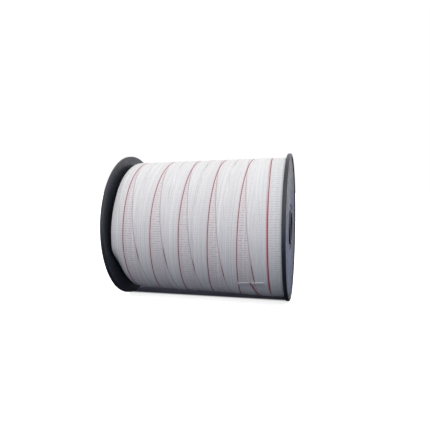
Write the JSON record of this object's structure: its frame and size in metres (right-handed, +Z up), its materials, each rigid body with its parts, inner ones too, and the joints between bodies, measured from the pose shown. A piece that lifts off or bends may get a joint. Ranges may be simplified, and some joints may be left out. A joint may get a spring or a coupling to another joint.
{
  "type": "electric fence tape spool",
  "caption": "Wide white woven electric fence tape with red tracer lines, wound on a black plastic spool that lies on its rims.",
  "frame": {"origin": "middle of the footprint, on the floor plane", "axes": "+X along the spool's axis, +Y towards the back, +Z up"},
  "size_m": [0.27, 0.2298, 0.2297],
  "materials": {
    "spool_plastic": "satin moulded plastic",
    "woven_tape": "matt woven polyethylene tape"
  },
  "bodies": {
    "root": {"flange_left": "spool_plastic", "flange_right": "spool_plastic", "core_tube": "spool_plastic", "tape_roll": "woven_tape"}
  },
  "joints": []
}
